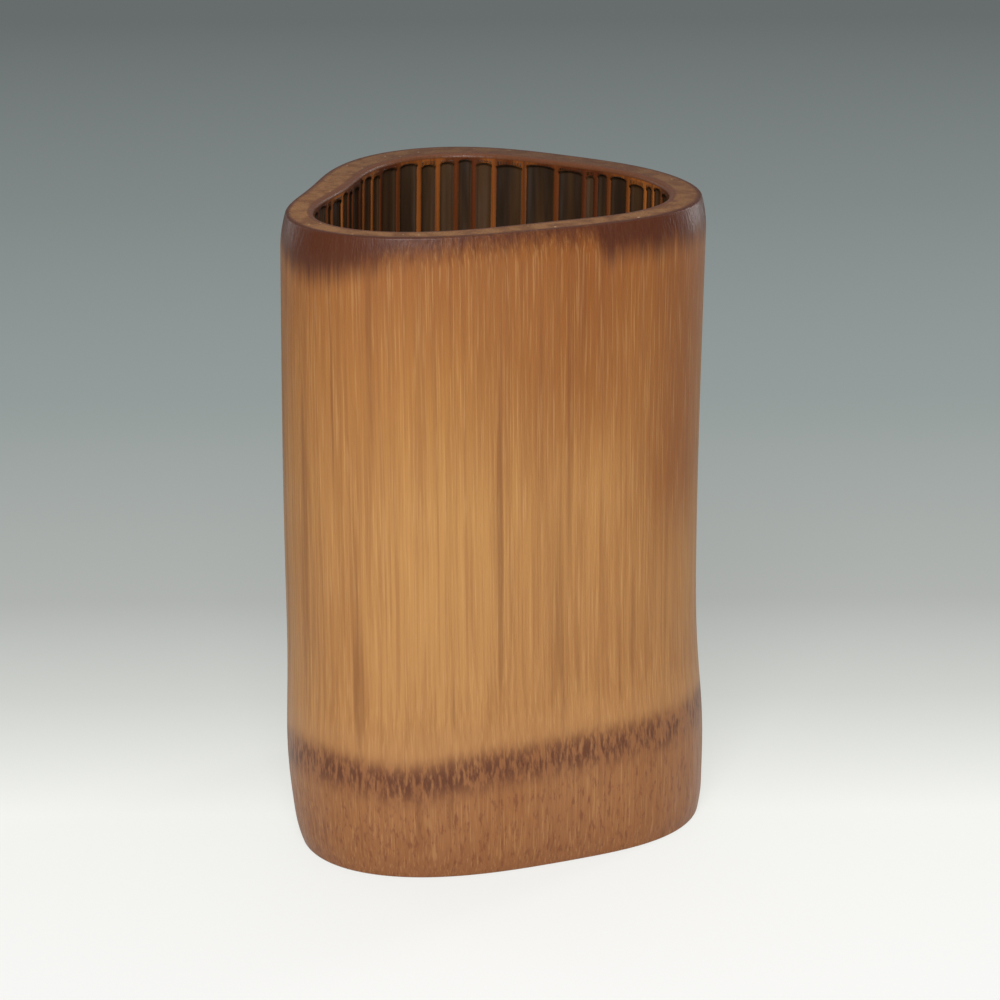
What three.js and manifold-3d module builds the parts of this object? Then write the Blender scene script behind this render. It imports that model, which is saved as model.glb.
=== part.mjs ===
// A brush pot made from one length of natural bamboo. The culm's own wall is the body, the
// natural node inside it is the floor, and a dark lacquer coats the floor and the carved flutes.
// Sizes in millimetres, +Z up, with the pot standing on Z = 0.
import * as THREE from 'three';
import Module from 'manifold-3d';

// The culm outside.
const HEIGHT = 175; // table to rim
const BODY_RADIUS = 55.1; // mean radius of the plain part between the node and the rim
const CORNER_SWELL = 5.5; // how far the three rounded corners stand out
const CORNER_TURN = -11; // direction of the first corner, degrees
const OVAL_SWELL = 1.4; // how far the section is longer one way
const OVAL_TURN = 52; // direction of the long way, degrees
const SQUARE_SWELL = 0.7; // the slight fourfold unevenness
const SQUARE_TURN = 38;
const FLAT_SWELL = 0.36; // flattens the sides between the corners
const FLAT_TURN = -20;

// The node's swelling, the bow of the culm, and the worn edges.
const NODE_HEIGHT = 25; // middle of the swelling
const NODE_SWELL = 1.62; // how far it stands out
const NODE_SPREAD = 15; // how far it reaches up and down
const FOOT_EASE = 1.05; // how far the foot draws in at the table
const FOOT_EASE_HEIGHT = 8;
const RIM_EASE = 1.5; // width of the rim's outer round-over
const RIM_EASE_HEIGHT = 9;
const FOOT_DRIFT = 0.5; // sideways offset of the foot
const BOW = 1.8; // sideways bow between the foot and the rim
const BOW_SKEW = 0.756; // below 1, the bow is greatest under mid height

// The wall at the rim, thicker toward the back.
const RIM_WALL = 7.9; // mean width of the flat rim
const WALL_LEAN = 1.07; // extra width on the thick side
const WALL_LEAN_TURN = 101;
const WALL_OVAL = 0.9;
const WALL_OVAL_TURN = -53;
const CHAMFER = 1; // inner edge of the rim

// The carved flutes of the well.
const RIDGE_WIDTH = 1.2; // flat crest between two flutes
const FLUTE_DEPTH = 1.3;
const FLUTE_TOP = 2.1; // rim to the crown of a flute's arch
const FLUTE_TOP_PLAY = 0.6; // how much the hand-cut crowns go up and down
const ARCH_RISE = 1; // crown down to the arch's springing
const ARCH_RUN = 1.6; // crown down to full depth
const FLUTE_RUNOUT = 0.6; // floor up to full depth
const RIDGES_FACING = [
  0.04, 0.054, 0.08, 0.105, 0.12, 0.133, 0.164, 0.2,
  0.232, 0.252, 0.269, 0.287, 0.306, 0.331, 0.357, 0.374,
]; // places of the ridges on the far side of the well, as shares of the way round
const FLUTES_NEAR = 35; // flutes on the rest of the way round
const FLUTE_PLAY = 0.2; // how much their hand-cut pitch varies

// The floor.
const SEAT_HEIGHT = 24; // table to the ledge that the diaphragm rests on
const DIAPHRAGM_THICKNESS = 4;
const DIAPHRAGM_DISH = 1.2; // rise of its underside in the middle
const LEDGE_WIDTH = 3;
const STUB_FLARE = 1.5; // how much wider the hollow under the floor is at the table
const SEAT_CLEARANCE = 0.3; // all round between a piece and the wall

// The lacquer.
const LACQUER_FLOOR = 1; // coat on the floor
const LACQUER_SHOW = 0.1; // bare crest edge beside each coated flute
const LACQUER_FILL = 0.4; // share of a flute's depth left open in front of its coat
const LACQUER_HEADROOM = 0.2; // chamfer down to the top of the core that the coat is cut from

const DEGREE = Math.PI / 180;
const FLOOR_HEIGHT = SEAT_HEIGHT + DIAPHRAGM_THICKNESS;

// One swelling of the section: so many lobes, the first one toward the given direction.
function lobes(count, swell, turn, angle) {
  return swell * Math.cos(count * (angle - turn * DEGREE));
}

// Outer radius of the plain part: a circle with oval, three-cornered and finer swellings.
function outline(angle) {
  return BODY_RADIUS + lobes(2, OVAL_SWELL, OVAL_TURN, angle) + lobes(3, CORNER_SWELL, CORNER_TURN, angle)
    + lobes(4, SQUARE_SWELL, SQUARE_TURN, angle) + lobes(6, FLAT_SWELL, FLAT_TURN, angle);
}

// What the node, the foot and the rim add to the outer radius at a height.
function swelling(z) {
  const fromNode = (z - NODE_HEIGHT) / NODE_SPREAD;
  const overFoot = Math.max(0, 1 - z / FOOT_EASE_HEIGHT);
  const underRim = Math.max(0, 1 - (HEIGHT - z) / RIM_EASE_HEIGHT);
  return NODE_SWELL * Math.exp(-fromNode * fromNode / 2)
    - FOOT_EASE * overFoot * overFoot - RIM_EASE * underRim * underRim;
}

// Sideways place of the culm's middle at a height.
function drift(z) {
  const share = Math.min(1, Math.max(0, z / HEIGHT));
  return FOOT_DRIFT * (1 - share) - BOW * Math.sin(Math.PI * share ** BOW_SKEW);
}

// Radius of the rim's inner edge, and of the well under the chamfer.
function rimInner(angle) {
  const wall = RIM_WALL + lobes(1, WALL_LEAN, WALL_LEAN_TURN, angle)
    + lobes(2, WALL_OVAL, WALL_OVAL_TURN, angle);
  return outline(angle) - RIM_EASE - wall;
}
function bore(angle) {
  return rimInner(angle) - CHAMFER;
}

// Length of the way round the well up to each of many angles, to place the flutes by arc length.
const ARC_STEPS = 1440;
const arc = [0];
for (let i = 0; i < ARC_STEPS; i += 1) {
  const from = (2 * Math.PI * i) / ARC_STEPS;
  const to = (2 * Math.PI * (i + 1)) / ARC_STEPS;
  const dx = bore(to) * Math.cos(to) - bore(from) * Math.cos(from);
  const dy = bore(to) * Math.sin(to) - bore(from) * Math.sin(from);
  arc.push(arc[i] + Math.hypot(dx, dy));
}
const wayRound = arc[ARC_STEPS];

// Angle at a share of the way round the well.
function angleAt(share) {
  const turns = Math.floor(share);
  const length = (share - turns) * wayRound;
  let i = 0;
  while (i < ARC_STEPS - 1 && arc[i + 1] < length) i += 1;
  const part = (length - arc[i]) / (arc[i + 1] - arc[i]);
  return 2 * Math.PI * (turns + (i + part) / ARC_STEPS);
}

// Every ridge as a share of the way round: the far ones as cut, the near ones at an uneven pitch.
const ridges = [...RIDGES_FACING];
const lastFacing = RIDGES_FACING[RIDGES_FACING.length - 1];
const nearRun = 1 + RIDGES_FACING[0] - lastFacing;
for (let k = 1; k < FLUTES_NEAR; k += 1) {
  ridges.push(lastFacing + (nearRun * (k + FLUTE_PLAY * Math.sin(2.4 * k))) / FLUTES_NEAR);
}

// Four points a flute: both edges of a crest, then two in the flute after it. Each has its
// angle, how deep it lies as a share of the full depth, and how far under the rim its arch starts.
const points = [];
const halfCrest = RIDGE_WIDTH / 2 / wayRound;
ridges.forEach((ridge, k) => {
  const next = k + 1 < ridges.length ? ridges[k + 1] : 1 + ridges[0];
  const crown = FLUTE_TOP + FLUTE_TOP_PLAY * Math.sin(1.9 * k);
  const before = FLUTE_TOP + FLUTE_TOP_PLAY * Math.sin(1.9 * (k - 1));
  const start = ridge + halfCrest;
  const width = next - halfCrest - start;
  points.push({ angle: angleAt(ridge - halfCrest), depth: 0, crown: before + ARCH_RISE });
  points.push({ angle: angleAt(start), depth: 0, crown: crown + ARCH_RISE });
  points.push({ angle: angleAt(start + 0.26 * width), depth: 1, crown });
  points.push({ angle: angleAt(start + 0.74 * width), depth: 1, crown });
});

// One closed line of points round the pot, from a radius and a height for each point.
function ring(places, radiusOf, heightOf) {
  return places.map((place) => {
    const z = heightOf(place);
    const r = radiusOf(place, z);
    return [drift(z) + r * Math.cos(place.angle), r * Math.sin(place.angle), z];
  });
}

// Faces between each ring and the next; a loop also joins the last ring to the first, and
// otherwise both ends are closed by a fan. The well's rings run downward in the wall's loop and
// upward in the cores, so a core's faces are split the other way and follow the wall's exactly.
function skin(rings, isLoop) {
  const count = rings[0].length;
  const vertices = rings.flat();
  const faces = [];
  const spans = isLoop ? rings.length : rings.length - 1;
  for (let k = 0; k < spans; k += 1) {
    const low = k * count;
    const high = ((k + 1) % rings.length) * count;
    for (let i = 0; i < count; i += 1) {
      const j = (i + 1) % count;
      if (isLoop) faces.push(low + i, low + j, high + j, low + i, high + j, high + i);
      else faces.push(low + i, low + j, high + i, low + j, high + j, high + i);
    }
  }
  if (!isLoop) {
    const top = (rings.length - 1) * count;
    const middle = (line) => [drift(line[0][2]), 0, line[0][2]];
    vertices.push(middle(rings[0]), middle(rings[rings.length - 1]));
    for (let i = 0; i < count; i += 1) {
      const j = (i + 1) % count;
      faces.push(rings.length * count, j, i, rings.length * count + 1, top + i, top + j);
    }
  }
  const geometry = new THREE.BufferGeometry();
  geometry.setAttribute('position', new THREE.Float32BufferAttribute(vertices.flat(), 3));
  geometry.setIndex(faces);
  geometry.computeVertexNormals();
  return geometry;
}

// Rings of the fluted well from the floor up to under the chamfer. The depth of a flute moves
// the well's surface outward by radiusOf(bore, depth).
const LEVELS = [0.3, 0.64]; // rings between the flutes' two ends, as shares of the height
function fluted(places, radiusOf, lowest) {
  const full = (p) => radiusOf(bore(p.angle), FLUTE_DEPTH * p.depth);
  const plain = (p) => radiusOf(bore(p.angle), 0);
  const rings = lowest.map(([z, share]) => ring(
    places, (p) => radiusOf(bore(p.angle), FLUTE_DEPTH * p.depth * share), () => z,
  ));
  for (const level of LEVELS) {
    rings.push(ring(places, full, () => FLOOR_HEIGHT + level * (HEIGHT - FLOOR_HEIGHT)));
  }
  rings.push(ring(places, full, (p) => HEIGHT - p.crown - ARCH_RUN));
  rings.push(ring(places, plain, (p) => HEIGHT - p.crown));
  return rings;
}

// The culm wall: up the outside, over the rim, down the fluted well, along the ledge under the
// diaphragm and down the hollow of the foot.
const outerLevels = [0, 5, 12, NODE_HEIGHT, 38, 60, 110, 160, 171];
const outside = (p, z) => outline(p.angle) + swelling(z);
const wallRings = outerLevels.map((z) => ring(points, outside, () => z));
wallRings.push(ring(points, outside, () => HEIGHT));
wallRings.push(ring(points, (p) => rimInner(p.angle), () => HEIGHT));
wallRings.push(ring(points, (p) => bore(p.angle), () => HEIGHT - CHAMFER));
const wellRings = fluted(
  points, (r, depth) => r + depth, [[FLOOR_HEIGHT, 0], [FLOOR_HEIGHT + FLUTE_RUNOUT, 1]],
);
wallRings.push(...wellRings.reverse());
wallRings.push(ring(points, (p) => bore(p.angle), () => SEAT_HEIGHT));
wallRings.push(ring(points, (p) => bore(p.angle) - LEDGE_WIDTH, () => SEAT_HEIGHT));
wallRings.push(ring(points, (p) => bore(p.angle) - LEDGE_WIDTH + STUB_FLARE, () => 0));
const culmWall = new THREE.Mesh(
  skin(wallRings, true),
  new THREE.MeshStandardMaterial({ color: 0xa9743f, roughness: 0.42, metalness: 0 }),
);
culmWall.name = 'culm_wall';

// The diaphragm: the node's own wall across the culm, flat where it rests on the ledge and
// above, and hollowed a little below.
const DISC_POINTS = 96;
const discPlaces = Array.from({ length: DISC_POINTS }, (_, i) => ({ angle: (2 * Math.PI * i) / DISC_POINTS }));
const discEdge = (p) => bore(p.angle) - SEAT_CLEARANCE;
const dishEdge = (p) => bore(p.angle) - LEDGE_WIDTH - SEAT_CLEARANCE;
const discRings = [
  ring(discPlaces, (p) => dishEdge(p) * 0.3, () => SEAT_HEIGHT + DIAPHRAGM_DISH),
  ring(discPlaces, (p) => dishEdge(p) * 0.75, () => SEAT_HEIGHT + DIAPHRAGM_DISH * 0.5),
  ring(discPlaces, dishEdge, () => SEAT_HEIGHT),
  ring(discPlaces, discEdge, () => SEAT_HEIGHT),
  ring(discPlaces, discEdge, () => FLOOR_HEIGHT),
];
const nodeDiaphragm = new THREE.Mesh(
  skin(discRings, false),
  new THREE.MeshStandardMaterial({ color: 0x8a5a34, roughness: 0.6, metalness: 0 }),
);
nodeDiaphragm.name = 'node_diaphragm';

// The lacquer: a core that fills the well up to the clearance, less a core that leaves a coat
// on the floor and in each flute and nothing on the crests.
const wasm = await Module();
wasm.setup();
function solid(geometry) {
  return new wasm.Manifold(new wasm.Mesh({
    numProp: 3,
    vertProperties: new Float32Array(geometry.getAttribute('position').array),
    triVerts: new Uint32Array(geometry.getIndex().array),
  }));
}
const coatOuter = fluted(
  points, (r, depth) => r + depth - SEAT_CLEARANCE,
  [[FLOOR_HEIGHT, 0], [FLOOR_HEIGHT + FLUTE_RUNOUT, 1]],
);
coatOuter.push(ring(points, (p) => bore(p.angle) - SEAT_CLEARANCE, () => HEIGHT - CHAMFER - LACQUER_HEADROOM));
const coatInner = fluted(
  points, (r, depth) => r + LACQUER_SHOW + LACQUER_FILL * depth,
  [[FLOOR_HEIGHT + LACQUER_FLOOR, 1]],
);
coatInner.push(ring(points, (p) => bore(p.angle) + LACQUER_SHOW, () => HEIGHT));
const coat = solid(skin(coatOuter, false)).subtract(solid(skin(coatInner, false))).getMesh();
const coatGeometry = new THREE.BufferGeometry();
coatGeometry.setAttribute('position', new THREE.Float32BufferAttribute(coat.vertProperties, 3));
coatGeometry.setIndex(Array.from(coat.triVerts));
coatGeometry.computeVertexNormals();
const lacquerLining = new THREE.Mesh(
  coatGeometry,
  new THREE.MeshStandardMaterial({ color: 0x2e2119, roughness: 0.35, metalness: 0 }),
);
lacquerLining.name = 'lacquer_lining';

// The pot stands on the middle of its own footprint.
const pot = new THREE.Group();
pot.add(culmWall, nodeDiaphragm, lacquerLining);
const box = new THREE.Box3().setFromObject(pot);
pot.position.set(-(box.min.x + box.max.x) / 2, -(box.min.y + box.max.y) / 2, 0);
export default pot;
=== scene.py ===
# %% [markdown]
# A brush pot made from one length of bamboo. The frame is the imported model of its three solids:
# the culm wall, the node's diaphragm and the lacquer in the well. This lesson gives each of them
# a fine surface and its own finish. It loads the frame first, because every size that follows
# has to agree with it, and it keeps the frame's box to centre the dressed pot and keep its points inside.

# %% Load the frame
import math

import bpy
import numpy as np
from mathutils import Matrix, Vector


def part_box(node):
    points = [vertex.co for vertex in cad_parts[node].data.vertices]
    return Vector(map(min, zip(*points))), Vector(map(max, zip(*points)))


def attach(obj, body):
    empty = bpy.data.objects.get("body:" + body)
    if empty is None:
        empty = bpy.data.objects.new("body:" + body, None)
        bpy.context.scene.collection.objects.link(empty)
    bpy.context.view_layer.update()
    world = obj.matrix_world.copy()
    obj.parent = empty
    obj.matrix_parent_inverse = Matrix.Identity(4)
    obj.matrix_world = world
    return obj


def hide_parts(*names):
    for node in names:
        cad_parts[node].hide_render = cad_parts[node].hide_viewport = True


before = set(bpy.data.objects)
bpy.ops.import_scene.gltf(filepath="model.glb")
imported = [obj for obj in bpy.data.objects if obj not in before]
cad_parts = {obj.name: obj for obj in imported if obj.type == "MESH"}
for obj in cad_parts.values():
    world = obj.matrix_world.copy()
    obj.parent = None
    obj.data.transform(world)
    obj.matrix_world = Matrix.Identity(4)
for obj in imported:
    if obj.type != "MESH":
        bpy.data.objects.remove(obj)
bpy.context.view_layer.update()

scene = bpy.context.scene
MM = 0.001
wall_low, wall_high = (np.array(corner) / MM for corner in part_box("culm_wall"))
print("wall box in mm", wall_low.round(2), wall_high.round(2))

# %% [markdown]
# The culm's shape. A bamboo pot like this could be sculpted, or lofted through traced outlines,
# but its section is simple: a circle with two, three, four and six soft lobes. So the radius is a
# formula of the angle, and the node, the worn foot and the worn rim add to it by height. The
# sizes are the real pot's, in millimetres, as in the solids.

# %% Sizes of the culm
HEIGHT = 175.0
BODY_RADIUS = 55.1
NODE_HEIGHT, NODE_SWELL, NODE_SPREAD = 25.0, 1.62, 15.0
FOOT_EASE, FOOT_EASE_HEIGHT = 1.05, 8.0
RIM_EASE, RIM_EASE_HEIGHT = 1.5, 9.0
FOOT_DRIFT, BOW, BOW_SKEW = 0.5, 1.8, 0.756
# Each swelling of the section with the direction of its first lobe, in degrees.
OVAL_SWELL, OVAL_TURN = 1.4, 52
CORNER_SWELL, CORNER_TURN = 5.5, -11
SQUARE_SWELL, SQUARE_TURN = 0.7, 38
FLAT_SWELL, FLAT_TURN = 0.36, -20
# The wall's width at the rim, how much thicker it is toward the back, and its oval.
RIM_WALL, CHAMFER = 7.9, 1.0
WALL_LEAN, WALL_LEAN_TURN = 1.07, 101
WALL_OVAL, WALL_OVAL_TURN = 0.9, -53
# The floor's seat and top, the ledge that carries it, and the flare of the hollow foot.
SEAT_HEIGHT, FLOOR_HEIGHT = 24.0, 28.0
LEDGE_WIDTH, STUB_FLARE = 3.0, 1.5
SEAT_CLEARANCE = 0.3


# %% The section and the height profile
def lobes(count, swell, turn, angle):
    """So many lobes round the circle: swell times the cosine of count times the angle from turn."""
    return swell * np.cos(count * (angle - np.radians(turn)))


def outline(angle):
    """Outer radius of the plain part: a circle plus oval, three-cornered and finer lobes."""
    return (BODY_RADIUS + lobes(2, OVAL_SWELL, OVAL_TURN, angle)
            + lobes(3, CORNER_SWELL, CORNER_TURN, angle)
            + lobes(4, SQUARE_SWELL, SQUARE_TURN, angle) + lobes(6, FLAT_SWELL, FLAT_TURN, angle))


def swelling(z):
    """A bell curve at the node, less a square-law draw-in over the foot and under the rim."""
    bell = NODE_SWELL * np.exp(-((z - NODE_HEIGHT) / NODE_SPREAD) ** 2 / 2)
    foot = FOOT_EASE * np.clip(1 - z / FOOT_EASE_HEIGHT, 0, 1) ** 2
    rim = RIM_EASE * np.clip(1 - (HEIGHT - z) / RIM_EASE_HEIGHT, 0, 1) ** 2
    return bell - foot - rim


def drift(z):
    """Sideways place of the middle: a straight lean less half a sine wave, skewed downward."""
    share = np.clip(z / HEIGHT, 0, 1)
    return FOOT_DRIFT * (1 - share) - BOW * np.sin(np.pi * share ** BOW_SKEW)


def rim_inner(angle):
    """Inner edge of the flat rim: the outer edge less a wall that is thicker toward the back."""
    lean = lobes(1, WALL_LEAN, WALL_LEAN_TURN, angle)
    return outline(angle) - RIM_EASE - RIM_WALL - lean - lobes(2, WALL_OVAL, WALL_OVAL_TURN, angle)


def bore(angle):
    """Radius of the well under the rim's inner chamfer."""
    return rim_inner(angle) - CHAMFER


turns = np.linspace(0, 2 * np.pi, 1441)  # every quarter of a degree
print("outer radius from", outline(turns).min().round(1), "to", outline(turns).max().round(1), "mm")

# %% [markdown]
# The flutes. The maker cut about fifty upright grooves round the well, each ending in a small
# round arch under the rim, and the pitch is uneven because it was done by hand. They could be
# cut with boolean tools, one for each groove, but a groove is only a change of the well's
# radius. So each point of the well gets its place across its flute, from -1 to 1, and the depth
# is a formula of that place and the height.

# %% Places of the ridges and samples round the pot
RIDGE_WIDTH, FLUTE_DEPTH, FLUTE_RUNOUT = 1.2, 1.3, 0.6
FLUTE_TOP, FLUTE_TOP_PLAY, ARCH_RISE, ARCH_RUN = 2.1, 0.6, 1.0, 0.8
FLUTES_NEAR, FLUTE_PLAY = 35, 0.2
PITCH_WANDER, TOP_WANDER = 2.4, 1.9  # radians from one flute to the next
# The ridges on the far side of the well, as shares of the way round it.
RIDGES_FACING = [0.04, 0.054, 0.08, 0.105, 0.12, 0.133, 0.164, 0.2,
                 0.232, 0.252, 0.269, 0.287, 0.306, 0.331, 0.357, 0.374]
ACROSS = 10  # steps across one flute

near = np.arange(1, FLUTES_NEAR)
near_run = 1 + RIDGES_FACING[0] - RIDGES_FACING[-1]
ridges = np.concatenate([
    RIDGES_FACING,
    RIDGES_FACING[-1] + near_run * (near + FLUTE_PLAY * np.sin(PITCH_WANDER * near)) / FLUTES_NEAR])
well_x, well_y = bore(turns) * np.cos(turns), bore(turns) * np.sin(turns)
arc = np.concatenate([[0], np.cumsum(np.hypot(np.diff(well_x), np.diff(well_y)))])
way_round = arc[-1]


def angle_at(share):
    """Angle at a share of the way round the well, read off the running arc length."""
    whole = np.floor(share)
    return 2 * np.pi * whole + np.interp((share - whole) * way_round, arc, turns)


flute_count = len(ridges)
next_ridge = np.append(ridges[1:], 1 + ridges[0])
half_crest = RIDGE_WIDTH / 2 / way_round
groove_left = (ridges + half_crest)[:, None]
groove_width = (next_ridge - ridges - 2 * half_crest)[:, None]
flute_tops = FLUTE_TOP + FLUTE_TOP_PLAY * np.sin(TOP_WANDER * np.arange(flute_count))
steps = np.linspace(0, 1, ACROSS + 1)
shares = np.concatenate([ridges[:, None], groove_left + groove_width * steps], axis=1)
across = np.concatenate([[-1.0], 2 * steps - 1])[None, :].repeat(flute_count, axis=0)
crown = np.broadcast_to(flute_tops[:, None], across.shape)
angles, across, crown = angle_at(shares).ravel(), across.ravel(), crown.ravel()
print(flute_count, "flutes,", len(angles), "samples round the pot, way round", way_round.round(1), "mm")


# %% The depth of a flute
def smooth(value):
    """Smooth step from 0 to 1: three squares less two cubes of the clipped value."""
    value = np.clip(value, 0, 1)
    return value * value * (3 - 2 * value)


def flute_depth(place, top, z):
    """Depth at a place across a flute: flat-bottomed across, round-arched above, eased at the floor."""
    arch = HEIGHT - top - ARCH_RISE * (1 - np.sqrt(np.clip(1 - place ** 2, 0, 1)))
    upright = smooth((arch - z) / ARCH_RUN) * smooth((z - FLOOR_HEIGHT) / FLUTE_RUNOUT)
    return FLUTE_DEPTH * (1 - np.abs(place) ** 5) * upright


print("a flute is", flute_depth(np.array([0.0, 0.5, 0.9]), FLUTE_TOP, 100.0).round(2), "mm deep across")


# %% [markdown]
# One skin for the whole wall. The wall is a ring-shaped solid, so one closed grid covers it: up
# the outside, over the rim, down the well, along the ledge under the floor, and down the hollow
# of the foot. Every ring of the grid is a radius and a height at each angle. The edges of the rim
# and the foot are rounded by quarter circles, which catch the light as worn edges do.

# %% Helpers that put grids into meshes
def lift(radius, z, angle=None):
    """Points from radius, height and angle: the middle drifts sideways with the height."""
    angle = angles if angle is None else angle
    radius, z, angle = np.broadcast_arrays(radius, z, angle)
    return np.stack([drift(z) + radius * np.cos(angle), radius * np.sin(angle), z], axis=-1)


every_half = np.linspace(0, HEIGHT, int(2 * HEIGHT) + 1)[:, None]  # heights half a millimetre apart
shell = lift(outline(angles) + swelling(every_half), every_half).reshape(-1, 3)
stand = (wall_low + wall_high) / 2 - (shell.min(0) + shell.max(0)) / 2
stand[2] = 0
print("the pot's middle stands at", stand.round(3))


def new_piece(name, points, faces):
    """A mesh object from points in millimetres and a list of face arrays, kept inside the wall's box."""
    points = np.clip(points.reshape(-1, 3) + stand, wall_low, wall_high) * MM
    mesh = bpy.data.meshes.new(name)
    mesh.from_pydata(points.tolist(), [], [face for block in faces for face in block.tolist()])
    mesh.polygons.foreach_set("use_smooth", np.ones(len(mesh.polygons), bool))
    mesh.update()
    piece = bpy.data.objects.new(name, mesh)
    scene.collection.objects.link(piece)
    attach(piece, "root")
    return piece


def grid_faces(rows, columns, close_rows):
    """Four-sided faces of a grid whose columns join up, and whose last row may join the first."""
    spans = rows if close_rows else rows - 1
    row, column = np.meshgrid(np.arange(spans), np.arange(columns), indexing="ij")
    low, high = row * columns, (row + 1) % rows * columns
    beside = (column + 1) % columns
    return np.stack([low + column, low + beside, high + beside, high + column], axis=-1).reshape(-1, 4)


def give(piece, name, values):
    """A named number at every vertex, for the finish to read."""
    layer = piece.data.attributes.new(name, "FLOAT", "POINT")
    layer.data.foreach_set("value", np.ascontiguousarray(values, dtype=np.float32).ravel())


# %% The wall
EDGE = 0.6  # radius of the worn outer edge of the rim and of the foot
quarter = np.linspace(0, np.pi / 2, 5)[:, None]
# Heights of the rings, closer together where the outline bends or a flute ends.
outer_z = np.concatenate([np.linspace(EDGE, 12, 13), np.linspace(14, 46, 17), np.linspace(50, 160, 21),
                          np.linspace(162, HEIGHT - EDGE, 12)])[:, None]
well_z = np.concatenate([np.linspace(HEIGHT - CHAMFER - 0.2, 166, 34), np.linspace(164, 34, 12),
                         np.linspace(32, FLOOR_HEIGHT, 7)])[:, None]
foot_radius, top_radius = outline(angles) + swelling(0.0), outline(angles) + swelling(HEIGHT)
side_foot, side_top = outline(angles) + swelling(EDGE), outline(angles) + swelling(HEIGHT - EDGE)
rim_share = np.linspace(0, 1, 7)[1:-1, None]
stub_z = np.linspace(SEAT_HEIGHT, 0, 5)[:, None]
inner = bore(angles)

foot_edge = lift(foot_radius - EDGE + (side_foot - foot_radius + EDGE) * np.sin(quarter[:-1]),
                 EDGE * (1 - np.cos(quarter[:-1])))
outer_side = lift(outline(angles) + swelling(outer_z), outer_z)
rim_edge = lift(side_top - (side_top - top_radius + EDGE) * (1 - np.cos(quarter[1:])),
                HEIGHT - EDGE * (1 - np.sin(quarter[1:])))
rim_flat = lift(top_radius - EDGE + (rim_inner(angles) - top_radius + EDGE) * rim_share, HEIGHT)
bevel = lift(rim_inner(angles) - CHAMFER * np.sin(quarter), HEIGHT - CHAMFER * (1 - np.cos(quarter)))
well_side = lift(inner + flute_depth(across, crown, well_z), well_z)
stub = lift(inner - LEDGE_WIDTH + STUB_FLARE * (1 - stub_z / SEAT_HEIGHT), stub_z)
seat = lift(inner[None, :], SEAT_HEIGHT)
parts = [foot_edge, outer_side, rim_edge, rim_flat, bevel, well_side, seat, stub]
wall_points = np.concatenate(parts)
bamboo_wall = new_piece("bamboo_wall", wall_points, [grid_faces(len(wall_points), len(angles), True)])
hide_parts("culm_wall")
print("bamboo_wall has", len(bamboo_wall.data.polygons), "faces")

# %% [markdown]
# What the finish has to know. The stains on bamboo are not the same all round: the rim is
# darkened most toward its corners, and the node's line waves up and down. Painting an
# image would do it, but numbers kept at the vertices do it without one: how deep inside the rim's
# stain a point is, how far above the node's line, and which face of the wall it belongs to. The
# shader then breaks these smooth numbers up with noise.

# %% Numbers at the vertices
degrees = np.degrees(angles) % 360
sizes = [len(part) for part in parts]
row_zone = np.repeat(["skin", "skin", "skin", "rim", "bevel", "well", "well", "stub"], sizes)
z_of, turn_of = wall_points[..., 2], np.broadcast_to(degrees, wall_points.shape[:2])


def away_from(middle):
    """Degrees round the pot from the middle angle, by the shorter way, from -180 to 180."""
    return (turn_of - middle + 180) % 360 - 180


def bump_round(middle, width):
    """A bell curve round the pot: one at the middle angle, falling off over the width."""
    return np.exp(-(away_from(middle) / width) ** 2)


# Directions in degrees: 0 is the right of the pot and 270 its front. The widths of the curves
# below are in degrees too, and their heights in millimetres.
LEFT_CORNER, RIGHT_CORNER, BACK_CORNER, BACK_LEFT, BACK = 226, 334, 110, 150, 70
RIGHT_STAIN_START, WARM_TOP_MIDDLE = 304, 303
STAIN_LEAST, STAIN_LEFT, STAIN_RIGHT, STAIN_BACK = 2.6, 9.5, 5.5, 5  # millimetres down from the rim
NODE_LINE, NODE_TILT, NODE_TILT_TURN = 30.2, 2.6, 345  # mean height, and how it tilts

past_start = away_from(RIGHT_STAIN_START)
right_stain = smooth(past_start / 4) * (1 - smooth((past_start - 70) / 40))
reach = (STAIN_LEAST + STAIN_LEFT * bump_round(LEFT_CORNER, 19) + STAIN_RIGHT * right_stain
         + STAIN_BACK * bump_round(BACK_CORNER, 30))
node_line = (NODE_LINE + NODE_TILT * np.cos(np.radians(turn_of - NODE_TILT_TURN))
             - 2.2 * bump_round(250, 12) + 1.6 * bump_round(222, 14))
warm_corner = bump_round(RIGHT_CORNER, 17) * smooth((z_of - 72) / 35)
warm_top = 0.8 * bump_round(WARM_TOP_MIDDLE, 30) * smooth((z_of - 100) / 40)
warm_back = 0.5 * bump_round(BACK_LEFT, 40) * smooth((z_of - 80) / 70)
warm = np.maximum(np.maximum(warm_corner, warm_top), warm_back)
give(bamboo_wall, "height", z_of / HEIGHT)
give(bamboo_wall, "stain", reach - (HEIGHT - z_of))
give(bamboo_wall, "above_node", z_of - node_line)
give(bamboo_wall, "warm", warm)
give(bamboo_wall, "back_rim", bump_round(BACK, 75))
for zone in ("rim", "well", "stub", "bevel"):
    give(bamboo_wall, zone, np.repeat((row_zone == zone)[:, None], len(angles), axis=1))
print("rim stain reaches", reach.min().round(1), "to", reach.max().round(1), "mm down")


# %% [markdown]
# The lacquer in the flutes. On the real pot it is a dark coat that pooled in the grooves, with
# the crests scraped bare. A darker colour on the wall would look painted on, so each flute has its
# own thin strip: a loop of points, front then back, carried up the flute. The front lies a little
# proud of the wood and the back a little inside it, so that no light shows between them.

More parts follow.
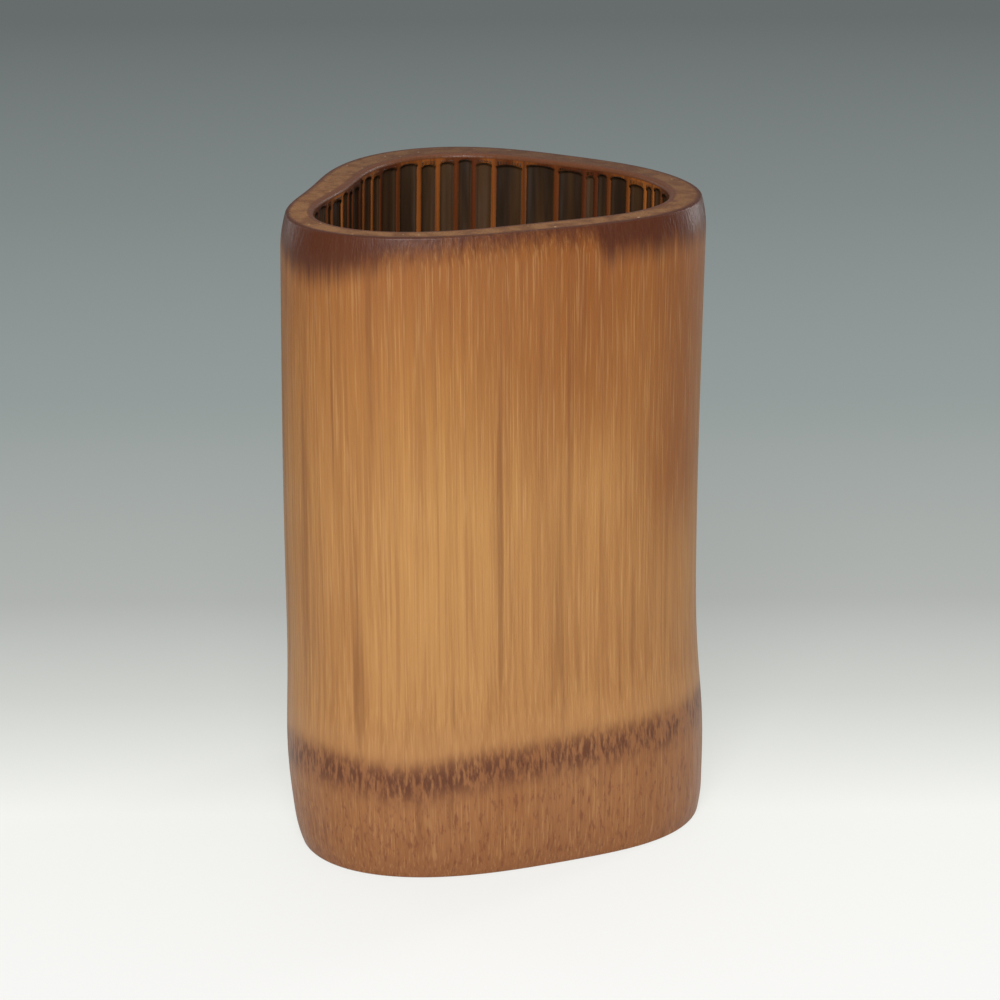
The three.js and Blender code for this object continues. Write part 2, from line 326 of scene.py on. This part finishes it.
# %% Strips of lacquer
STRIP_FILL, STRIP_PROUD, STRIP_SUNK = 0.28, 0.02, 0.1
STRIP_PROUD_FROM = 0.3  # depth of the groove from which the strip is fully proud
STRIP_FOOT, STRIP_HEADROOM = 0.3, 0.2  # above the floor, and under the highest arch
strip_place = np.linspace(-0.98, 0.98, 11)
strip_top = HEIGHT - FLUTE_TOP + FLUTE_TOP_PLAY - STRIP_HEADROOM
strip_z = np.concatenate([np.linspace(FLOOR_HEIGHT + STRIP_FOOT, 34, 5), np.linspace(50, 160, 8),
                          np.linspace(164, strip_top, 34)])[:, None]
strip_angle = angle_at(groove_left + groove_width * (strip_place + 1) / 2)[:, None, :]
depth = flute_depth(strip_place, flute_tops[:, None, None], strip_z)
pool = STRIP_FILL * depth * (1 - strip_place ** 2)
proud = STRIP_PROUD * smooth(depth / STRIP_PROUD_FROM)
front = lift(bore(strip_angle) + depth - pool - proud, strip_z, strip_angle)
back = lift(bore(strip_angle) + depth + STRIP_SUNK, strip_z, strip_angle)
strips = np.concatenate([front, back[:, :, ::-1]], axis=2)
rows, loop = strips.shape[1:3]
side = grid_faces(rows, loop, False)[:, ::-1]
start = (np.arange(flute_count) * rows * loop)[:, None]
side_faces = (start[:, None] + side[None]).reshape(-1, 4)
low_caps = start + np.arange(loop)
high_caps = start + (rows - 1) * loop + np.arange(loop)[::-1]
lacquer_flutes = new_piece("lacquer_flutes", strips, [side_faces, low_caps, high_caps])
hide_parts("lacquer_lining")
print("lacquer_flutes has", len(lacquer_flutes.data.polygons), "faces")

# %% [markdown]
# The floor. The node's diaphragm closes the culm, and the lacquer ran over it and crept up a
# little at the wall. Both are profiles swept round the section: a list of shares of the well's
# radius with a height for each, from the middle of the underside, out, up and back to the middle.


# %% Swept discs
def disc(name, share, z, clearance):
    """A closed disc from a profile of radius shares and heights, closed by a fan at both ends."""
    share, z = np.asarray(share)[:, None], np.asarray(z)[:, None]
    rings = lift((bore(angles) - clearance) * share, z)
    poles = lift(np.zeros((2, 1)), z[[0, -1]], np.zeros((2, 1)))
    count, last = len(angles), (len(rings) - 1) * len(angles)
    here = np.arange(count)
    beside = (here + 1) % count
    low = np.stack([np.full(count, rings.shape[0] * count), beside, here], axis=1)
    high = np.stack([np.full(count, rings.shape[0] * count + 1), last + here, last + beside], axis=1)
    points = np.concatenate([rings.reshape(-1, 3), poles.reshape(-1, 3)])
    return new_piece(name, points, [grid_faces(len(rings), count, False), low, high])


DISH, DISH_SHARE = 1.2, 0.93  # hollow of the underside: its depth and its share of the radius
outward = np.linspace(0.05, 1, 14)  # shares of the radius, from near the middle to the wall
flat_top = np.full(len(outward), FLOOR_HEIGHT)
dish = SEAT_HEIGHT + DISH * (1 - smooth(outward / DISH_SHARE))
node_floor = disc("node_floor", np.concatenate([outward, [1.0], outward[::-1]]),
                  np.concatenate([dish, [(SEAT_HEIGHT + FLOOR_HEIGHT) / 2], flat_top]), SEAT_CLEARANCE)
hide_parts("node_diaphragm")

LACQUER_FLOOR, LACQUER_LIFT, LACQUER_CLEARANCE = 1.0, 0.02, 0.1
CREEP, CREEP_FROM = 0.5, 0.94  # how high the lacquer creeps at the wall, and from which share
creep_share = np.clip((outward - CREEP_FROM) / (1 - CREEP_FROM), 0, 1)
creep = FLOOR_HEIGHT + LACQUER_FLOOR + CREEP * creep_share ** 2
lacquer_floor = disc("lacquer_floor", np.concatenate([outward, outward[::-1]]),
                     np.concatenate([flat_top + LACQUER_LIFT, creep[::-1]]), LACQUER_CLEARANCE)
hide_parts("lacquer_lining")
print("floor pieces:", node_floor.name, lacquer_floor.name)


# %% [markdown]
# Small helpers for the finishes. Each one adds a shader node and returns its output, so that a
# finish reads from top to bottom like a recipe.

# %% Shader helpers
def paint(red, green, blue):
    """A colour as seen, in 0 to 255 steps, made linear for the renderer."""
    seen = np.array([red, green, blue]) / 255
    linear = np.where(seen <= 0.04045, seen / 12.92, ((seen + 0.055) / 1.055) ** 2.4)
    return (*linear.tolist(), 1.0)


def new_finish(name):
    """An empty material with one surface shader; returns the material, its tree and the shader."""
    material = bpy.data.materials.new(name)
    material.use_nodes = True
    tree = material.node_tree
    tree.nodes.clear()
    shader = tree.nodes.new("ShaderNodeBsdfPrincipled")
    output = tree.nodes.new("ShaderNodeOutputMaterial")
    tree.links.new(shader.outputs[0], output.inputs["Surface"])
    return material, tree, shader


def feed(tree, socket, value):
    """Links an output to a socket, or writes a plain number or colour into it."""
    if isinstance(value, bpy.types.NodeSocket):
        tree.links.new(value, socket)
    else:
        socket.default_value = value


def number(tree, name):
    """A number kept at the vertices."""
    reader = tree.nodes.new("ShaderNodeAttribute")
    reader.attribute_name = name
    return reader.outputs["Fac"]


def grain(tree, stretch, detail=3.0, rough=0.5, place=(0, 0, 0)):
    """Noise whose cells are one over stretch metres long along each axis."""
    coordinates = tree.nodes.new("ShaderNodeTexCoord")
    mapping = tree.nodes.new("ShaderNodeMapping")
    mapping.inputs["Scale"].default_value = stretch
    mapping.inputs["Location"].default_value = place
    noise = tree.nodes.new("ShaderNodeTexNoise")
    noise.inputs["Scale"].default_value = 1.0
    noise.inputs["Detail"].default_value = detail
    noise.inputs["Roughness"].default_value = rough
    tree.links.new(coordinates.outputs["Object"], mapping.inputs["Vector"])
    tree.links.new(mapping.outputs[0], noise.inputs["Vector"])
    return noise.outputs["Fac"]


def reckon(tree, operation, first, second=0.0):
    """One step of arithmetic on two numbers."""
    item = tree.nodes.new("ShaderNodeMath")
    item.operation = operation
    feed(tree, item.inputs[0], first)
    feed(tree, item.inputs[1], second)
    return item.outputs[0]


def between(tree, value, low, high, start=0.0, end=1.0):
    """Smoothly from start to end as the value goes from low to high."""
    item = tree.nodes.new("ShaderNodeMapRange")
    item.interpolation_type = "SMOOTHSTEP"
    for socket, entry in zip(item.inputs, (value, low, high, start, end)):
        feed(tree, socket, entry)
    return item.outputs["Result"]


def mixed(tree, share, first, second):
    """The second colour over the first by a share."""
    item = tree.nodes.new("ShaderNodeMix")
    item.data_type = "RGBA"
    feed(tree, item.inputs[0], share)
    feed(tree, item.inputs[6], first)
    feed(tree, item.inputs[7], second)
    return item.outputs[2]


def stops(tree, value, colours):
    """A colour ramp through pairs of place and colour."""
    item = tree.nodes.new("ShaderNodeValToRGB")
    ramp = item.color_ramp
    for place, _ in colours[2:]:
        ramp.elements.new(place)
    for element, (place, colour) in zip(sorted(ramp.elements, key=lambda e: e.position), colours):
        element.position = place
        element.color = colour
    feed(tree, item.inputs[0], value)
    return item.outputs[0]


def relief(tree, height, distance, below=None):
    """A bump of so many metres, on top of another bump."""
    item = tree.nodes.new("ShaderNodeBump")
    item.inputs["Distance"].default_value = distance
    feed(tree, item.inputs["Height"], height)
    if below is not None:
        tree.links.new(below, item.inputs["Normal"])
    return item.outputs[0]


print("a middle grey of 128 is", round(paint(128, 128, 128)[0], 3), "to the renderer")


# %% [markdown]
# The bamboo. Its skin was scraped and waxed: honey brown, yellower low down and more orange
# toward the rim, with upright fibres a millimetre or so apart. An image of bamboo would show a
# seam and repeat, so the skin is a ramp of colours by height under noise stretched along the culm.

# %% The skin
bamboo, tree, shader = new_finish("waxed_bamboo")
height = number(tree, "height")
skin = stops(tree, height, [
    (0.0, paint(138, 88, 52)), (0.1, paint(150, 100, 60)), (0.17, paint(150, 102, 62)),
    (0.26, paint(174, 125, 72)), (0.58, paint(178, 129, 72)), (0.8, paint(162, 109, 52)),
    (0.93, paint(146, 90, 38)), (1.0, paint(128, 74, 32))])
skin = mixed(tree, reckon(tree, "MULTIPLY", number(tree, "warm"), 0.88), skin, paint(128, 70, 20))
patches = grain(tree, (32, 32, 9), 2)
skin = mixed(tree, between(tree, patches, 0.35, 0.7, 0, 0.35), skin, paint(146, 92, 46))
fibres = grain(tree, (980, 980, 15), 4, 0.6)
skin = mixed(tree, between(tree, fibres, 0.38, 0.66, 0.0, 0.38), skin, paint(126, 76, 38))
hairs = grain(tree, (2300, 2300, 45), 2, 0.5, (3, 1, 0))
skin = mixed(tree, between(tree, hairs, 0.5, 0.72, 0.0, 0.22), skin, paint(206, 160, 104))
streaks = grain(tree, (300, 300, 6), 2, 0.5, (7, 2, 1))
skin = mixed(tree, between(tree, streaks, 0.6, 0.72, 0.0, 0.4), skin, paint(104, 58, 28))
print("the skin has", len(tree.nodes), "nodes")

# %% [markdown]
# Over the skin come the dark broken dashes of the node with a paler strip above them, the
# speckled reddish foot, and the red-brown stain under the rim with a feathered edge. Each one is
# placed by a number kept at the vertices, and noise breaks up its edge.

# %% The node, the foot and the stain
above = number(tree, "above_node")
dash = grain(tree, (950, 950, 230), 3, 0.6, (1, 5, 2))
clump = grain(tree, (60, 60, 40), 2, 0.5, (4, 4, 4))
near_node = between(tree, reckon(tree, "ABSOLUTE", above), 8.5, 0.5)
dashes = between(tree, reckon(tree, "ADD", dash, reckon(tree, "MULTIPLY", clump, 0.4)), 0.6, 0.82)
tint = reckon(tree, "MULTIPLY", near_node, 0.42)
skin = mixed(tree, tint, skin, paint(120, 70, 44))
broken = reckon(tree, "MULTIPLY", near_node, reckon(tree, "MULTIPLY", dashes, 0.8))
skin = mixed(tree, broken, skin, paint(80, 40, 22))
light_strip = reckon(tree, "MULTIPLY", between(tree, above, 3, 8), between(tree, above, 17, 9))
skin = mixed(tree, reckon(tree, "MULTIPLY", light_strip, 0.25), skin, paint(186, 136, 84))
foot_part = between(tree, above, -3, -10)
foot_dash = between(tree, grain(tree, (1000, 1000, 260), 3, 0.65, (9, 1, 5)), 0.5, 0.7)
skin = mixed(tree, reckon(tree, "MULTIPLY", foot_part, reckon(tree, "MULTIPLY", foot_dash, 0.7)),
             skin, paint(112, 62, 38))

stain = reckon(tree, "ADD", number(tree, "stain"),
               reckon(tree, "MULTIPLY", reckon(tree, "SUBTRACT", fibres, 0.5), 9.0))
stained = between(tree, stain, -5.0, 4.5)
skin = mixed(tree, reckon(tree, "MULTIPLY", stained, 0.9), skin, paint(68, 28, 14))
print("with its stains it has", len(tree.nodes), "nodes")

# %% [markdown]
# The cut faces. A saw cut across bamboo shows the ends of its fibres as dots, so the rim gets
# cells of about that size. The crests between the flutes are bare wood, orange to dark brown, and
# the hollow of the foot is raw.

# %% The rim, the crests and the foot's hollow
pores = tree.nodes.new("ShaderNodeTexVoronoi")
pores.inputs["Scale"].default_value = 1500
tree.links.new(tree.nodes.new("ShaderNodeTexCoord").outputs["Object"], pores.inputs["Vector"])
cut_share = between(tree, grain(tree, (260, 260, 260), 3), 0.35, 0.65)
cut = mixed(tree, cut_share, paint(116, 74, 42), paint(142, 98, 58))
cut = mixed(tree, between(tree, pores.outputs["Distance"], 0.32, 0.12, 0, 0.7), cut, paint(60, 34, 20))
specks = between(tree, grain(tree, (700, 700, 700), 1, 0.5, (2, 8, 3)), 0.74, 0.8)
cut = mixed(tree, specks, cut, paint(214, 184, 146))
bare = mixed(tree, between(tree, grain(tree, (70, 70, 3), 2, 0.5, (5, 3, 0)), 0.4, 0.62),
             paint(90, 42, 18), paint(168, 96, 38))
bare = mixed(tree, between(tree, fibres, 0.4, 0.7, 0, 0.5), bare, paint(70, 38, 20))
stub_wood = mixed(tree, between(tree, fibres, 0.35, 0.7), paint(150, 106, 66), paint(112, 72, 44))
cut = mixed(tree, reckon(tree, "MULTIPLY", number(tree, "back_rim"), 0.6), cut, paint(70, 44, 30))
colour = mixed(tree, number(tree, "rim"), skin, cut)
colour = mixed(tree, number(tree, "bevel"), colour, paint(104, 60, 34))
colour = mixed(tree, number(tree, "well"), colour, bare)
colour = mixed(tree, number(tree, "stub"), colour, stub_wood)
print("with its cut faces it has", len(tree.nodes), "nodes")

# %% [markdown]
# The wax gives the skin a soft gloss, and the rim is duller. The fibres and the node's dashes are
# felt as well as seen, so the same noise that colours them also raises them a little.

# %% Gloss and relief of the bamboo
tree.links.new(colour, shader.inputs["Base Color"])
dull = reckon(tree, "ADD", between(tree, grain(tree, (300, 300, 40), 3), 0.3, 0.7, 0.36, 0.5),
              reckon(tree, "MULTIPLY", number(tree, "rim"), 0.22))
tree.links.new(dull, shader.inputs["Roughness"])
shader.inputs["Specular IOR Level"].default_value = 0.24
shader.inputs["Coat Weight"].default_value = 0.06
shader.inputs["Coat Roughness"].default_value = 0.22
ridged = relief(tree, fibres, 0.00012)
ridged = relief(tree, hairs, 0.00005, ridged)
tree.links.new(relief(tree, dashes, 0.00004, ridged), shader.inputs["Normal"])
bamboo_wall.data.materials.append(bamboo)
print("waxed_bamboo has", len(tree.nodes), "nodes")

# %% [markdown]
# The lacquer is nearly black, with a brown cast where it is thin and a satin gloss. The raw
# diaphragm under the floor is dull brown with cloudy patches.

# %% The lacquer and the diaphragm
lacquer, tree, shader = new_finish("dark_lacquer")
thin = grain(tree, (160, 160, 12), 3, 0.55)
dark = mixed(tree, between(tree, thin, 0.36, 0.7), paint(44, 31, 20), paint(78, 54, 32))
tree.links.new(dark, shader.inputs["Base Color"])
tree.links.new(between(tree, grain(tree, (400, 400, 60), 3), 0.3, 0.7, 0.3, 0.46), shader.inputs["Roughness"])
tree.links.new(relief(tree, grain(tree, (420, 420, 40), 3), 0.0001), shader.inputs["Normal"])
lacquer_flutes.data.materials.append(lacquer)
lacquer_floor.data.materials.append(lacquer)

raw_node, tree, shader = new_finish("raw_diaphragm")
cloud = grain(tree, (110, 110, 110), 4, 0.6)
tree.links.new(stops(tree, cloud, [(0.3, paint(112, 72, 44)), (0.7, paint(164, 118, 76))]),
               shader.inputs["Base Color"])
shader.inputs["Roughness"].default_value = 0.7
tree.links.new(relief(tree, grain(tree, (600, 600, 600), 4), 0.0003), shader.inputs["Normal"])
node_floor.data.materials.append(raw_node)
print("finishes:", [material.name for material in bpy.data.materials])

# %% [markdown]
# The camera stands about 0.8 metres off and looks down by about eighteen degrees, with a long
# lens. These values were fitted to the rim and the foot of the real pot as photographed.

# %% Camera
LOOK_DOWN, ROLL = math.radians(18.47), math.radians(0.40)
DISTANCE, AIM_RIGHT, AIM_HEIGHT = 824.4, 3.6, 88.3
camera_data = bpy.data.cameras.new("camera")
camera_data.sensor_width, camera_data.lens = 36.0, 108.0
camera = bpy.data.objects.new("camera", camera_data)
scene.collection.objects.link(camera)
camera.location = (
    (AIM_RIGHT + stand[0]) * MM,
    (stand[1] - DISTANCE * math.cos(LOOK_DOWN)) * MM,
    (AIM_HEIGHT + DISTANCE * math.sin(LOOK_DOWN)) * MM,
)
camera.rotation_euler = (math.pi / 2 - LOOK_DOWN, 0.0, 0.0)
camera.rotation_euler.rotate_axis("Z", -ROLL)
scene.camera = camera
print("camera at", [round(value, 4) for value in camera.location])

# %% [markdown]
# The stage. The pot stands on a pale sweep whose colour goes from white in front to grey behind,
# which is painted shade for the light falling off toward the back. A paper sweep could be bent up
# at the back, but from this height a flat sheet fills the picture, and its colour can carry that
# falloff. Most of what the camera sees of it is its own plain colour, and the rest is lit, which keeps the
# pot's soft shadow.

# %% Floor
FLOOR_HALF = 9.0  # metres
PLAIN_SHARE = 0.72  # how much of what the camera sees is the floor's own colour
floor_mesh = bpy.data.meshes.new("floor")
corners = [(-1, -1), (1, -1), (1, 1), (-1, 1)]
floor_mesh.from_pydata([(x * FLOOR_HALF, y * FLOOR_HALF, 0.0) for x, y in corners], [], [(0, 1, 2, 3)])
floor = bpy.data.objects.new("floor", floor_mesh)
scene.collection.objects.link(floor)
sweep, tree, shader = new_finish("sweep")
tree.nodes.remove(shader)
position = tree.nodes.new("ShaderNodeSeparateXYZ")
tree.links.new(tree.nodes.new("ShaderNodeTexCoord").outputs["Object"], position.inputs[0])
back_share = between(tree, position.outputs["Y"], -0.2, 1.5)
back_share.node.interpolation_type = "LINEAR"
# Painted shade: the floor's colour darkens from white in front to grey behind, standing in for the light
# falling off toward the back.
painted_falloff = stops(tree, back_share, [
    (0.05, paint(249, 249, 247)), (0.11, paint(246, 247, 243)), (0.16, paint(209, 212, 207)),
    (0.21, paint(179, 182, 179)), (0.35, paint(151, 160, 158)), (0.56, paint(134, 142, 141)),
    (0.9, paint(111, 118, 117))])
lit = tree.nodes.new("ShaderNodeBsdfDiffuse")
plain = tree.nodes.new("ShaderNodeEmission")
tree.links.new(painted_falloff, lit.inputs["Color"])
tree.links.new(painted_falloff, plain.inputs["Color"])
rays = tree.nodes.new("ShaderNodeLightPath")
direct = reckon(tree, "MAXIMUM", rays.outputs["Is Camera Ray"], rays.outputs["Is Transmission Ray"])
blend_floor = tree.nodes.new("ShaderNodeMixShader")
tree.links.new(reckon(tree, "MULTIPLY", direct, PLAIN_SHARE), blend_floor.inputs[0])
tree.links.new(lit.outputs[0], blend_floor.inputs[1])
tree.links.new(plain.outputs[0], blend_floor.inputs[2])
tree.links.new(blend_floor.outputs[0], tree.nodes["Material Output"].inputs["Surface"])
floor.data.materials.append(sweep)
print("the floor is", 2 * FLOOR_HALF, "m wide")

# %% [markdown]
# The light. A large soft lamp in front and above gives the skin its even tone, two narrow ones
# behind draw the pale lines down the sides, and a weak one above reaches into the well. One bare
# bulb would be simpler, but it would leave a hard shadow and a small hot spot on the wax.


# %% Lights
def softbox(name, place, aim, width, tall, watts):
    """A rectangular lamp at a place, turned toward an aim."""
    data = bpy.data.lights.new(name, "AREA")
    data.shape, data.size, data.size_y, data.energy = "RECTANGLE", width, tall, watts
    lamp = bpy.data.objects.new(name, data)
    lamp.location = place
    lamp.rotation_euler = (Vector(aim) - Vector(place)).to_track_quat("-Z", "Y").to_euler()
    scene.collection.objects.link(lamp)


softbox("key", (-0.12, -1.45, 1.1), (0, 0, 0.09), 0.8, 0.8, 27)
softbox("edge_right", (0.95, 0.75, 0.35), (0, 0, 0.12), 0.2, 0.8, 4.5)
softbox("edge_left", (-0.9, 0.8, 0.35), (0, 0, 0.09), 0.3, 0.8, 1.5)
softbox("top", (0.1, 0.3, 1.5), (0, 0, 0.1), 0.9, 0.9, 3.5)
world = bpy.data.worlds.new("studio")
scene.world = world
world.use_nodes = True
world.node_tree.nodes["Background"].inputs["Color"].default_value = (0.96, 0.98, 1.0, 1.0)
world.node_tree.nodes["Background"].inputs["Strength"].default_value = 0.26
scene.view_settings.view_transform = "Standard"
